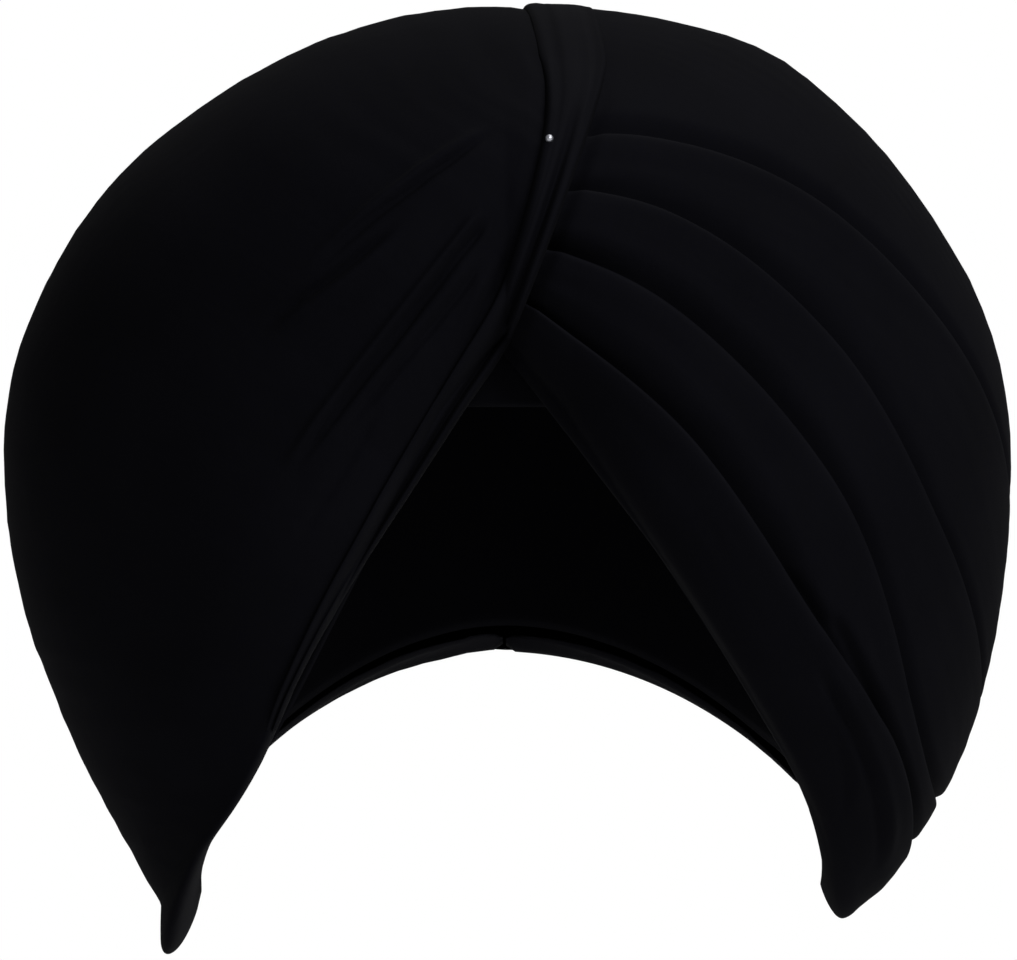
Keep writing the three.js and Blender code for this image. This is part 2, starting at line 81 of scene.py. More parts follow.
# Lines round the turban: heights at these turns from the brow to the nape, as shares of the crown level
# where they are above the brow edge and of the ear drop where they are below it
turns = np.array([0, 20, 40, 60, 90, 130, 180], float)
rims = {
    "right": (0.14, -0.193, -0.478, -0.685, -0.885, -0.63, -0.4),
    "left": (0.186, -0.228, -0.59, -0.78, -0.945, -0.66, -0.4),
}
foldedEdges = (
    (0.662, 0.666, 0.545, 0.255, -0.195, -0.25, -0.09),
    (0.551, 0.479, 0.181, -0.224, -0.55, -0.43, -0.17),
    (0.431, 0.24, -0.12, -0.53, -0.73, -0.55, -0.24),
    (0.3, -0.02, -0.372, -0.61, -0.81, -0.62, -0.3),
)
leftCourses = (
    (0.8, 0.7, 0.56, 0.44, 0.36, 0.34, 0.32),
    (0.672, 0.371, -0.05, -0.25, -0.36, -0.3, -0.13),
    (0.511, 0.013, -0.41, -0.56, -0.67, -0.52, -0.25),
)
# The wraps are thicker at the two tips in front of the ears, where many turns end
tip = {
    "azimuth": 90, "around": 24, "up": 30,
    "left": {"outward": 4, "thicker": 14.5, "drop": 0.2},
    "right": {"outward": 1.5, "thicker": 7, "drop": 0.1},
}
seam = {
    "footAzimuth": -2.2, "footElevation": 9, "frontSweep": 15, "frontRise": 40, "frontBow": 0.75,
    "backAzimuth": 171, "backElevation": 46, "backSweep": 11, "backFall": 90,
}
frontTop = seam["footElevation"] + seam["frontRise"]
seamMargin = math.degrees(form["gap"] / form["headHalfWidth"])


def lerp(a, b, u):
    return a + (b - a) * u


def smooth(u):
    u = np.clip(u, 0, 1)
    return u * u * (3 - 2 * u)


def bump(u):
    return np.exp(-u * u)


def direction(azimuth, elevation):
    a, e = np.radians(azimuth), np.radians(elevation)
    return np.stack([np.cos(e) * np.sin(a), -np.cos(e) * np.cos(a), np.sin(e) + 0 * a], axis=-1)


def azimuthOf(d):
    return np.degrees(np.arctan2(d[..., 0], -d[..., 1]))


def elevationOf(d):
    return np.degrees(np.arcsin(np.clip(d[..., 2], -1, 1)))


# Smooth curve through a line's values, and straight on past the front
def alongTurns(values, turned):
    values, turned = np.asarray(values, float), np.asarray(turned, float)
    widths = np.diff(turns)
    slopes = np.diff(values) / widths
    tangents = np.zeros(len(turns))
    tangents[0] = slopes[0]
    tangents[1:-1] = (slopes[:-1] * widths[1:] + slopes[1:] * widths[:-1]) / (widths[:-1] + widths[1:])
    x = np.minimum(turned, turns[-1])
    i = np.clip(np.searchsorted(turns, x) - 1, 0, len(turns) - 2)
    u = (x - turns[i]) / widths[i]
    rise = 3 * u * u - 2 * u ** 3
    leave = u ** 3 - 2 * u * u + u
    arrive = u ** 3 - u * u
    bend = leave * tangents[i] + arrive * tangents[i + 1]
    curve = lerp(values[i], values[i + 1], rise) + widths[i] * bend
    return np.where(turned < 0, values[0] + slopes[0] * turned, curve)


def level(share):
    return share * (crownLevel if share > 0 else form["earDrop"])


def sideShare(side, height):
    widest = side["widest"] * form["earDrop"]
    fall = np.clip((widest - height) / (side["close"] * form["earDrop"]), 0, 1)
    climb = np.clip((height - widest) / (crownLevel - widest), 0, 1)
    low = (1 - fall ** side["below"]) ** (1 / side["below"])
    high = (1 - climb ** side["above"]) ** (1 / side["above"])
    return np.where(height < widest, low, high * (1 + side["shoulder"] * climb ** form["shoulderPower"]))


def planRadius(azimuth, halfWidth, halfLength, fullness):
    a = np.radians(azimuth)
    across = (np.abs(np.sin(a)) / halfWidth) ** fullness
    along = (np.abs(np.cos(a)) / halfLength) ** fullness
    return (across + along) ** (-1 / fullness)


def windSection(azimuth, height):
    a = np.radians(azimuth)
    reach = {name: side["reach"] * sideShare(side, height) + form["gap"] for name, side in sides.items()}
    halfWidth = np.where(np.sin(a) > 0, reach["right"], reach["left"])
    halfLength = np.where(np.cos(a) > 0, reach["front"], reach["back"])
    return planRadius(azimuth, halfWidth, halfLength, form["planFullness"])


def headSection(azimuth, height):
    full = form["headFullness"]
    share = (1 - np.clip(height / form["headRise"], 0, 1) ** full) ** (1 / full)
    halfLength = np.where(np.cos(np.radians(azimuth)) > 0, form["headFront"], form["headBack"])
    return planRadius(azimuth, form["headHalfWidth"], halfLength, full) * share


def reachOf(section, azimuth, elevation):
    e = np.radians(elevation)
    near = np.zeros(np.broadcast(azimuth, elevation).shape)
    far = near + 2 * headLong
    for step in range(32):
        middle = (near + far) / 2
        inside = middle * np.cos(e) < section(azimuth, middle * np.sin(e))
        near, far = np.where(inside, middle, near), np.where(inside, far, middle)
    return near


def rimElevation(azimuth):
    turned = np.abs((azimuth + 180) % 360 - 180)
    signed = (azimuth + 180) % 360 - 180
    ahead = smooth(0.5 + signed / (2 * form["rimBlend"]))
    behind = smooth(0.5 + (180 - turned) * np.sign(signed) / (2 * form["rimBlend"]))
    rightShare = np.where(turned < 90, ahead, behind)
    share = lerp(alongTurns(rims["left"], turned), alongTurns(rims["right"], turned), rightShare)
    height = np.where(share > 0, share * crownLevel, share * form["earDrop"])
    return np.degrees(np.arctan2(height, headSection(azimuth, np.minimum(height, 0))))


def windReach(azimuth, elevation):
    thin = reachOf(headSection, azimuth, elevation) + form["rimWind"]
    full = np.maximum(reachOf(windSection, azimuth, elevation), thin)
    span = lerp(form["tuckBrow"], form["tuckEar"], np.sin(np.radians(azimuth)) ** 2)
    above = np.clip((elevation - rimElevation(azimuth)) / span, 0, 1)
    return lerp(thin, full, np.sqrt(1 - (1 - above) ** 2))


def windOf(d):
    return windReach(azimuthOf(d), elevationOf(d))


def elevationAt(azimuth, height):
    low, high = rimElevation(azimuth), np.full(np.shape(azimuth), 89.0)
    for step in range(26):
        middle = (low + high) / 2
        under = windReach(azimuth, middle) * np.sin(np.radians(middle)) < height
        low, high = np.where(under, middle, low), np.where(under, high, middle)
    return low


def courseOf(shares, sign):
    return elevationAt(sign * turns, np.array([level(share) for share in shares]))


def rimCourse(shares, sign):
    heights = np.array([level(share) for share in shares])
    drop = tip["right" if sign > 0 else "left"]["drop"] * (turns == tip["azimuth"])
    return np.degrees(np.arctan2(heights, headSection(sign * turns, np.minimum(heights, 0)))) - drop


def frontSeam(elevation):
    climb = np.clip((elevation - seam["footElevation"]) / seam["frontRise"], 0, 1)
    return seam["footAzimuth"] + seam["frontSweep"] * climb ** seam["frontBow"]


def backSeam(elevation):
    return seam["backAzimuth"] + seam["backSweep"] * (seam["backElevation"] - elevation) / seam["backFall"]


def crownSeam(t, shift=0):
    t = np.asarray(t, float)
    front = direction(frontSeam(frontTop), frontTop)
    back = direction(seam["backAzimuth"], seam["backElevation"])
    ends = np.stack([front, back])
    lean = np.arcsin(ends[:, 0])
    pitch = np.arctan2(ends[:, 2], -ends[:, 1])
    l = lerp(lean[0], lean[1], t) + math.radians(shift)
    p = lerp(pitch[0], pitch[1], t)
    return np.stack([np.sin(l), -np.cos(l) * np.cos(p), np.cos(l) * np.sin(p)], axis=-1)


# A line from the front seam round to the back seam: sign 1 goes round the right side and -1 round the left
def courseLine(course, sign, t):
    start, end = 0.0, 180.0
    for step in range(6):
        start = sign * frontSeam(alongTurns(course, start)) + seamMargin
        end = backSeam(alongTurns(course, end)) if sign > 0 else 360 - backSeam(alongTurns(course, 180))
    azimuth = start + (end - seamMargin - start) * t
    return direction(sign * azimuth, alongTurns(course, azimuth))


def snapToSeams(row, sign, t):
    frontMiss = frontSeam(elevationOf(row[0])) + sign * seamMargin - azimuthOf(row[0])
    backMiss = backSeam(elevationOf(row[-1])) - sign * seamMargin - azimuthOf(row[-1]) % 360
    turn = frontMiss * (1 - t) ** 4 + backMiss * t ** 4
    return direction(azimuthOf(row) + turn, elevationOf(row))


def between(a, b, u):
    angle = np.arccos(np.clip((a * b).sum(-1), -1, 1))[..., None]
    safe = np.maximum(np.sin(angle), 1e-9)
    row = a * np.sin((1 - u) * angle) / safe + b * np.sin(u * angle) / safe
    return np.where(angle < 1e-6, a, row)


# The seam under the centre pleat as one path, from its foot over the crown to its tail
def seamPath(steps):
    pieces = []
    front = np.linspace(seam["footElevation"] - 1.2, frontTop, steps["front"], endpoint=False)
    climb = np.clip((front - seam["footElevation"]) / seam["frontRise"], 0, 1)
    pieces.append((direction(frontSeam(front), front), climb ** 2))
    crown = np.linspace(0, 1, steps["crown"], endpoint=False)
    pieces.append((crownSeam(crown), crown * 0 + 1))
    back = np.linspace(seam["backElevation"], steps["tailElevation"], steps["back"])
    pieces.append((direction(backSeam(back), back), back * 0 + 1))
    path = np.concatenate([piece[0] for piece in pieces])
    return path, np.concatenate([piece[1] for piece in pieces])


# Pleat sizes that the wraps beside it also need, in millimetres
pleat = {
    "width": 18, "rollWidth": 7.5, "rise": 0.9, "rollRise": 4.2, "bed": 1.6, "tailElevation": -29,
    "valley": 4.5,
    "valleyDepths": {"left": (0.5, 0.9), "right": (2.2, 0)},
    "hemShare": 0.2, "hemWidth": 0.34, "hemRise": 0.5, "hemLead": 14, "hemLift": 0.7,
}
seamDirs, seamSpread = seamPath({"front": 170, "crown": 240, "back": 170, "tailElevation": -30})
seamPoints = seamDirs * windOf(seamDirs)[:, None]


# How far each point lies from the seam, and how wide the pleat is there
def besideSeam(points):
    flat = points.reshape(-1, 3)
    distance = np.empty(len(flat))
    spread = np.empty(len(flat))
    for start in range(0, len(flat), 4000):
        chunk = flat[start:start + 4000]
        gap = np.linalg.norm(chunk[:, None, :] - seamPoints[None], axis=2)
        nearest = gap.argmin(1)
        distance[start:start + 4000] = gap[np.arange(len(chunk)), nearest]
        spread[start:start + 4000] = seamSpread[nearest]
    return distance.reshape(points.shape[:-1]), spread.reshape(points.shape[:-1])


# The wraps sink in beside the pleat, which lies in a bed of its own
def seamDip(points, side):
    distance, spread = besideSeam(points)
    half = lerp(pleat["rollWidth"], pleat["width"], spread) / 2
    depth = lerp(*pleat["valleyDepths"][side], spread)
    return -depth * smooth((half + pleat["valley"] - distance) / (pleat["valley"] - 0.3))


def ripple(x, y, seed):
    x, y = np.broadcast_arrays(x, y)
    values = (noise.noise(Vector((a, b, seed))) for a, b in zip(x.ravel().tolist(), y.ravel().tolist()))
    return np.fromiter(values, float, x.size).reshape(x.shape)


def stepLengths(points, axis):
    step = np.linalg.norm(np.diff(points, axis=axis), axis=-1)
    pad = [(0, 0), (0, 0)]
    pad[axis] = (1, 0)
    return np.cumsum(np.pad(step, pad), axis=axis)


def edgeDistance(across, along):
    ends = np.minimum(along, along[:, -1:] - along)
    return np.minimum(np.minimum(across, across[-1:] - across), ends)


# Direction of a point that is seen from the front at x and z
def seenFromFront(x, z):
    reach = 130.0
    azimuth = elevation = 0.0
    for step in range(14):
        elevation = math.degrees(math.asin(max(-1, min(1, z / reach))))
        across = x / (reach * math.cos(math.radians(elevation)))
        azimuth = math.degrees(math.asin(max(-0.999, min(0.999, across))))
        reach = (reach + float(windReach(np.array([azimuth]), np.array([elevation]))[0])) / 2
    return azimuth, elevation


# Folds, one a row: three points seen from the front (x and z), depth and width, all in millimetres, the height
# and side of the ridge beside the groove, and the shares of the length that it fades over
foldColumns = ("start", "middle", "end", "depth", "width", "ridge", "side", "fadeIn", "fadeOut")


def foldTable(*rows):
    return [dict(zip(foldColumns, row)) for row in rows]


# Relief of pulled folds: each runs through three points seen from the front, with a groove along it and a
# ridge beside it
def foldRelief(points, folds):
    relief = np.zeros(points.shape[:-1])
    for fold in folds:
        a, b, c = (seenFromFront(*fold[key]) for key in ("start", "middle", "end"))
        u = np.linspace(0, 1, 60)[:, None]
        ends = [np.array(p) for p in (a, b, c)]
        bow = 2 * ends[1] - (ends[0] + ends[2]) / 2
        line = (1 - u) ** 2 * ends[0] + 2 * u * (1 - u) * bow + u * u * ends[2]
        d = direction(line[:, 0], line[:, 1])
        curve = d * windOf(d)[:, None]
        tangent = np.gradient(curve, axis=0)
        length = np.linalg.norm(tangent, axis=1).sum()
        tangent /= np.linalg.norm(tangent, axis=1)[:, None]
        sideways = np.cross(d, tangent)
        near = np.linalg.norm(points - curve[30], axis=-1) < length * 0.6 + 6 * fold["width"]
        chosen = points[near]
        gap = np.linalg.norm(chosen[:, None, :] - curve[None], axis=2)
        k = gap.argmin(1)
        delta = chosen - curve[k]
        off = (delta * sideways[k]).sum(-1)
        along = (delta * tangent[k]).sum(-1) + k / 59 * length
        fade = smooth(along / (fold["fadeIn"] * length))
        fade *= smooth((length - along) / (fold["fadeOut"] * length))
        w = fold["width"]
        shape = -bump(off / w) + fold["ridge"] * bump((off - fold["side"] * 2.1 * w) / (1.5 * w))
        relief[near] += fold["depth"] * shape * fade
    return relief


# A closed loft: one grid whose first and last rows meet
def loft(name, points, along, across, wearAndHighlight):
    rows, columns = points.shape[:2]
    bm = bmesh.new()
    bmesh.ops.create_grid(bm, x_segments=columns - 1, y_segments=rows - 1, size=1)
    mesh = bpy.data.meshes.new(name)
    bm.to_mesh(mesh)
    bm.free()
    flat = np.empty(len(mesh.vertices) * 3)
    mesh.vertices.foreach_get("co", flat)
    flat = flat.reshape(-1, 3)
    i = np.rint((flat[:, 0] + 1) / 2 * (columns - 1)).astype(int)
    j = np.rint((flat[:, 1] + 1) / 2 * (rows - 1)).astype(int)
    mesh.vertices.foreach_set("co", (points[j, i] * mm).ravel())
    corners = np.empty(len(mesh.loops), int)
    mesh.loops.foreach_get("vertex_index", corners)
    uv = np.stack([along[j, i], across[j, i]], axis=-1) * mm
    mesh.uv_layers.new(name="cloth").data.foreach_set("uv", uv[corners].ravel())
    # mask for fading and painted highlight, read by the cloth finish
    mesh.attributes.new("wearAndHighlight", "FLOAT", "POINT").data.foreach_set("value", wearAndHighlight[j, i])
    bm = bmesh.new()
    bm.from_mesh(mesh)
    bmesh.ops.remove_doubles(bm, verts=bm.verts, dist=2e-6)
    slits = [edge for edge in bm.edges if edge.is_boundary]
    bmesh.ops.holes_fill(bm, edges=slits, sides=0)
    bmesh.ops.recalc_face_normals(bm, faces=bm.faces)
    for face in bm.faces:
        face.smooth = True
    bm.to_mesh(mesh)
    bm.free()
    piece = bpy.data.objects.new(name, mesh)
    scene.collection.objects.link(piece)
    return piece


# A closed sheet of cloth from its outer surface: rounded off at its free edges, with fewer rows inside
def clothSheet(name, dirs, outerReach, thickness, fromEdge, wearAndHighlight, innerStep):
    half = thickness / 2
    bulge = np.sqrt(np.maximum(half ** 2 - (half - np.minimum(fromEdge, half)) ** 2, 0))
    surface = dirs * outerReach[..., None]
    along = stepLengths(surface, 1)
    across = stepLengths(surface, 0)
    outer = dirs * (outerReach - half + bulge)[..., None]
    inner = dirs * (outerReach - half - bulge)[..., None]
    last = len(dirs) - 1
    kept = [j for j in range(last + 1) if j % innerStep == 0 or j < 8 or j > last - 8]
    back = kept[::-1]
    points = np.concatenate([outer, inner[back]])
    alongAll = np.concatenate([along, along[back]])
    acrossAll = np.concatenate([across, 2 * across[-1:] - across[back]])
    wearAndHighlightAll = np.concatenate([wearAndHighlight, wearAndHighlight[back]])
    return loft(name, points, alongAll, acrossAll, wearAndHighlightAll)


# Nearness to the tips
def tipShare(dirs, toRim, sign):
    return bump((sign * azimuthOf(dirs) - tip["azimuth"]) / tip["around"]) * bump(toRim / tip["up"])


# Right wraps: columns from the front seam to the back one, rows crowded at the folded edges
layers = {
    "columns": 230, "rows": 40, "crowding": 0.9, "hiddenShare": 0.4,
    "thickness": 1.9, "foldSwell": 0.8, "crest": 0.9, "crestWidth": 5, "slack": 0.35,
    "dipWidth": 10, "sideDip": 0.4, "dips": (1.1, 1.2, 2.0, 1.0), "unevenness": 0.7, "wrinkle": 0.2,
    "sideShare": 0.15, "fadeFrom": 70, "fadeOver": 90, "rimStop": 0.6,
    "hem": 8.2, "hemWidth": 12,
}

# Number of right layers: one more than the folded edges between them
layerCount = len(foldedEdges) + 1

# Creases where the layers gather above the right ear
earCreases = foldTable(
    ((70, -39), (79.5, -51.4), (81, -57), 0.8, 1.2, 0.6, 1, 0.3, 0.4),
    ((83, -51), (92, -68), (99, -86), 1.2, 1.4, 0.6, 1, 0.2, 0.3),
    ((79, -65), (92, -90), (94, -119), 1.4, 1.3, 0.7, 1, 0.2, 0.2),
    ((82, -78), (87, -94), (86, -106), 0.7, 1.2, 0.5, 1, 0.3, 0.4),
)


def gradedRows(count, crowding):
    u = np.linspace(0, 1, count)
    return u - crowding * np.sin(2 * np.pi * u) / (2 * np.pi)


def rightGrid():
    u = np.linspace(0, 1, layers["columns"])
    t = 0.5 * u + 0.5 * u * u
    courses = [courseOf(row, 1) for row in foldedEdges] + [rimCourse(rims["right"], 1)]
    edges = [crownSeam(t, seamMargin)] + [courseLine(course, 1, t) for course in courses]
    bands = []
    for b in range(layerCount):
        rows = []
        for g in gradedRows(layers["rows"], layers["crowding"]):
            row = between(edges[b], edges[b + 1], g)
            rows.append(row if b == 0 and g == 0 else snapToSeams(row, 1, t))
        bands.append(np.stack(rows))
    return bands


def makeRightLayers():
    bands = rightGrid()
    surfaces = []
    for b, dirs in enumerate(bands):
        base = windOf(dirs)
        points = dirs * base[..., None]
        down = np.diff(points, axis=0)
        way = np.gradient(points, axis=1)
        way /= np.linalg.norm(way, axis=-1)[..., None] + 1e-9
        square = np.linalg.norm(np.cross(down, way[1:]), axis=-1)
        fromFold = np.cumsum(np.pad(square, [(1, 0), (0, 0)]), axis=0)
        toNext = fromFold[-1] - fromFold
        along = stepLengths(points, 1)
        relief = seamDip(points, "right") + foldRelief(points, earCreases)
        relief += layers["unevenness"] * ripple(along / 70 + 3 * b, fromFold / 26, 2.3 + b)
        gathered = 1 + 2.2 * np.exp(-along / 22) + 1.2 * np.exp(-(along[:, -1:] - along) / 30)
        relief += layers["wrinkle"] * gathered * ripple(along / 34 + 5 * b, fromFold / 4.2, 8.1 + b)
        wearAndHighlight = np.zeros(base.shape)
        bold = lerp(1, layers["sideShare"], smooth((along - layers["fadeFrom"]) / layers["fadeOver"]))
        thin = layers["thickness"] * lerp(0.72, 1, bold)
        if b > 0:
            relief += layers["crest"] * bold * bump((fromFold - 3) / layers["crestWidth"])
            # lighter along each folded edge: fading and painted highlight
            wearAndHighlight = bump(fromFold / 1.6)
        if b < layerCount - 1:
            dipWidth = layers["dipWidth"] * lerp(layers["sideDip"], 1, bold)
            reach = np.minimum(dipWidth, 0.45 * fromFold[-1:])
            depth = thin + layers["slack"] + (layers["foldSwell"] + layers["dips"][b]) * bold
            relief -= depth * smooth(1 - toNext / np.maximum(reach, 0.1)) ** 1.3
        surfaces.append({
            "base": base, "relief": relief, "fromFold": fromFold, "wearAndHighlight": wearAndHighlight, "bold": bold, "thin": thin,
        })
    pieces = []
    for k in range(layerCount):
        parts = []
        for b in range(k, layerCount):
            s = surfaces[b]
            if b == k:
                rows = slice(0, None)
            elif k < 2 and b == k + 1:
                rows = slice(1, int(len(bands[b]) * layers["hiddenShare"]))
            elif k >= 2:
                rimBand = b == layerCount - 1
                rows = slice(1, int(len(bands[b]) * layers["rimStop"]) if rimBand else None, 2)
            else:
                continue
            dip = layers["foldSwell"] + layers["dips"][min(k, 3)]
            sunk = dip * s["bold"] * lerp(1, 0.1, (b - k) / layerCount)
            under = (b - k) * (s["thin"] + layers["slack"]) + (0 if b == k else sunk)
            reach = s["base"] + s["relief"] - under
            swell = layers["foldSwell"] * bump(s["fromFold"] / 6) * (b == k) * (k > 0) * s["bold"]
            if b == layerCount - 1 and k == b:
                share = tipShare(bands[b], s["fromFold"][-1:] - s["fromFold"], 1)
                toRim = s["fromFold"][-1:] - s["fromFold"]
                hem = (layers["hem"] - s["thin"]) * bump(toRim / layers["hemWidth"])
                swell = swell + hem + tip["right"]["thicker"] * share
                reach = reach + tip["right"]["outward"] * share
            parts.append((bands[b][rows], reach[rows], (s["thin"] + swell)[rows], s["wearAndHighlight"][rows] * (b == k)))
        dirs, reach, thickness, wearAndHighlight = (np.concatenate([part[n] for part in parts]) for n in range(4))
        surface = dirs * reach[..., None]
        across = stepLengths(surface, 0)
        along = stepLengths(surface, 1)
        fromEdge = edgeDistance(across, along)
        pieces.append(clothSheet(f"wound_layer_{k + 1}", dirs, reach, thickness, fromEdge, wearAndHighlight, 4))
    return pieces


rightPieces = makeRightLayers()
print("right layers made")

# Left wrap: one broad turn, with folds that fan down from the roll
sideWrap = {
    "columns": 230, "rows": (36, 30, 34, 52), "thickness": 1.9, "hem": 8.2, "hemWidth": 13,
    "unevenness": 0.9, "wrinkle": 0.24, "hemLine": 2.6, "hemLineDepth": 0.6, "hemRoll": 0.3,
    "cut": {"width": 300, "length": 450, "area": 0.088},
}
pulledFolds = foldTable(
    ((-1, 72), (-27, 54), (-52, 33), 2.1, 1.1, 1, -1, 0.3, 0.4),
    ((-27, 48), (-44, 34), (-64, 21), 2.2, 1.4, 0.8, 1, 0.3, 0.3),
    ((-4, 49), (-27, 20), (-56, -18), 2.6, 1, 0.9, -1, 0.1, 0.18),
    ((-6, 37), (-22, 17), (-44, -9), 2, 0.9, 0.8, -1, 0.15, 0.22),
    ((-2, 34), (-7, 23), (-15, 9), 1.4, 0.9, 0.6, -1, 0.2, 0.5),
    ((-9, 44), (-20, 29), (-34, 9), 0.9, 0.8, 0.6, 1, 0.3, 0.4),
    ((3, 44), (-4, 31), (-11, 18), 0.9, 0.8, 0.6, -1, 0.3, 0.4),
    ((-30, 5), (-42, -16), (-56, -38), 0.9, 1.5, 0.5, 1, 0.3, 0.5),
)


def makeSideWrap():
    u = np.linspace(0, 1, sideWrap["columns"])
    t = 0.45 * u + 0.55 * u * u
    courses = [courseOf(row, -1) for row in leftCourses] + [rimCourse(rims["left"], -1)]
    edges = [crownSeam(t, -seamMargin)] + [courseLine(course, -1, t) for course in courses]
    rows = []
    for b, count in enumerate(sideWrap["rows"]):
        last = b == len(sideWrap["rows"]) - 1
        shares = np.linspace(0, 1, count, endpoint=False)
        if last:
            shares = np.sin(np.linspace(0, 0.5, count) * np.pi)
        for g in shares:
            row = between(edges[b], edges[b + 1], g)
            rows.append(row if b == 0 and g == 0 else snapToSeams(row, -1, t))
    dirs = np.stack(rows)
    base = windOf(dirs)
    points = dirs * base[..., None]
    along = stepLengths(points, 1)
    across = stepLengths(points, 0)
    toRim = across[-1:] - across
    relief = seamDip(points, "left") + foldRelief(points, pulledFolds)
    relief += sideWrap["unevenness"] * ripple(along / 80, across / 38, 4.7)
    gathered = 1 + 2.4 * np.exp(-along / 26) + 1.2 * np.exp(-(along[:, -1:] - along) / 30)
    relief += sideWrap["wrinkle"] * gathered * ripple(along / 36, across / 5, 6.4)
    hemFade = smooth((90 - along) / 60)
    relief += sideWrap["hemRoll"] * bump((toRim - 1.6) / 1.7) * hemFade
    relief -= sideWrap["hemLineDepth"] * bump((toRim - sideWrap["hemLine"] - 1.2) / 0.8) * hemFade
    swell = tipShare(dirs, toRim, -1)
    reach = base + relief + tip["left"]["outward"] * swell
    thickness = lerp(sideWrap["thickness"], sideWrap["hem"], bump(toRim / sideWrap["hemWidth"]))
    thickness += tip["left"]["thicker"] * swell
    fromEdge = edgeDistance(across, along)
    # lighter along the hem: fading and painted highlight
    wearAndHighlight = bump(toRim / 2)
    return clothSheet("broad_side_wrap", dirs, reach, thickness, fromEdge, wearAndHighlight, 5)


sidePiece = makeSideWrap()
print("left wrap made")

# Centre pleat: heights across it from its left edge (-1) to its right edge (1), on the crown and on the roll
pleatShape = {
    "steps": {"front": 150, "crown": 120, "back": 110},
    "across": (-1, -0.93, -0.8, -0.55, -0.42, -0.3, -0.1, 0.15, 0.3, 0.42, 0.56, 0.72, 0.9, 0.97, 1),
    "crown": (0.15, 0.8, 1.0, 0.92, 0.72, 0.9, 1.0, 0.98, 0.96, 1.0, 1.0, 0.8, 0.9, 0.5, 0.15),
    "roll": (0.15, 0.62, 0.82, 0.98, 1.0, 1.0, 0.86, 0.24, 0.42, 0.76, 0.92, 0.95, 0.82, 0.5, 0.15),
    "profile": 44, "wrinkle": 0.16,
    "cut": {"width": 18, "length": 545, "area": 0.0084},
}


def makePleat():
    steps = dict(pleatShape["steps"], tailElevation=pleat["tailElevation"])
    path, spread = seamPath(steps)
    hem = courseLine(rimCourse(rims["left"], -1), -1, np.linspace(pleat["hemShare"], 0, 90))
    hem = direction(azimuthOf(hem), elevationOf(hem) + pleat["hemLift"])
    hem = hem[elevationOf(hem) < elevationOf(path[0]) - 3]
    path = np.concatenate([hem, path])
    spread = np.concatenate([np.zeros(len(hem)), spread])
    for step in range(24):
        path[1:-1] = (path[:-2] + 2 * path[1:-1] + path[2:]) / 4
    path /= np.linalg.norm(path, axis=1)[:, None]
    base = windOf(path)
    points = path * base[:, None]
    tangent = np.gradient(points, axis=0)
    acrossWay = np.cross(tangent, path)
    acrossWay /= np.linalg.norm(acrossWay, axis=1)[:, None]
    length = np.cumsum(np.linalg.norm(np.diff(points, axis=0, prepend=points[:1]), axis=1))
    s = np.linspace(-1, 1, pleatShape["profile"])
    crown = np.interp(s, pleatShape["across"], pleatShape["crown"])
    roll = np.interp(s, pleatShape["across"], pleatShape["roll"])
    soft = np.array([0.25, 0.5, 0.25])
    crown, roll = (np.convolve(np.pad(shape, 1, mode="edge"), soft, "valid") for shape in (crown, roll))
    blend = smooth(spread * 1.6)[:, None]
    shape = lerp(roll[None], crown[None], blend)
    rise = lerp(pleat["rollRise"], pleat["rise"], smooth(spread))[:, None]
    half = lerp(pleat["rollWidth"], pleat["width"], spread)[:, None] / 2
    hemLength = length[len(hem)]
    footTaper = smooth(length / (hemLength + 26))[:, None]
    tailTaper = smooth((length[-1] - length) / 12)[:, None]
    half = half * lerp(pleat["hemWidth"], 1, footTaper) * lerp(0.8, 1, tailTaper)
    lead = 1 - smooth(length / pleat["hemLead"])[:, None]
    top = rise * shape * lerp(pleat["hemRise"], 1, footTaper) - 2.2 * lead - 1.3 * (1 - tailTaper)
    lines = ripple(length[:, None] / 60, s[None] * half / 1.7 + 0 * length[:, None], 3.3)
    top = top + pleatShape["wrinkle"] * lines
    bottom = -pleat["bed"] + 0 * top - 1.4 * (1 - tailTaper)
    thick = np.maximum(top - bottom, 0)
    edge = np.sqrt(np.maximum(1 - s[None] ** 8, 0))
    close = smooth(np.minimum(length, length[-1] - length) / 1.5)[:, None]
    middle = (top + bottom) / 2
    top = middle + thick / 2 * edge * close
    bottom = middle - thick / 2 * edge * close
    across = s[None] * half
    loop = np.concatenate([np.stack([across, top], -1), np.stack([across, bottom], -1)[:, ::-1]], axis=1)
    way = points[:, None] + acrossWay[:, None] * loop[..., :1]
    way /= np.linalg.norm(way, axis=-1)[..., None]
    place = way * (windOf(way) + loop[..., 1])[..., None]
    rows = place.transpose(1, 0, 2)
    alongUv = np.broadcast_to(length[:, None], place.shape[:2]).T.copy()
    acrossUv = np.concatenate([across, 2 * half - across[:, ::-1]], axis=1).T.copy()
    # lighter on the pleat's ridges: fading and painted highlight
    wearAndHighlight = np.concatenate([np.clip(shape - 0.8, 0, 1) * 3, 0 * shape], axis=1).T.copy()
    return loft("folded_centre_pleat", rows, alongUv, acrossUv, wearAndHighlight)


pleatPiece = makePleat()
print("centre pleat made")

# Under turban: a close cap with fine gathers
cap = {
    "columns": 220, "rows": 70, "rimLift": 0.2, "earLift": 7, "earSpan": 24, "browEdge": 0.3, "gather": 0.2,
    "cut": {"width": 340, "length": 510, "area": 0.093},
}


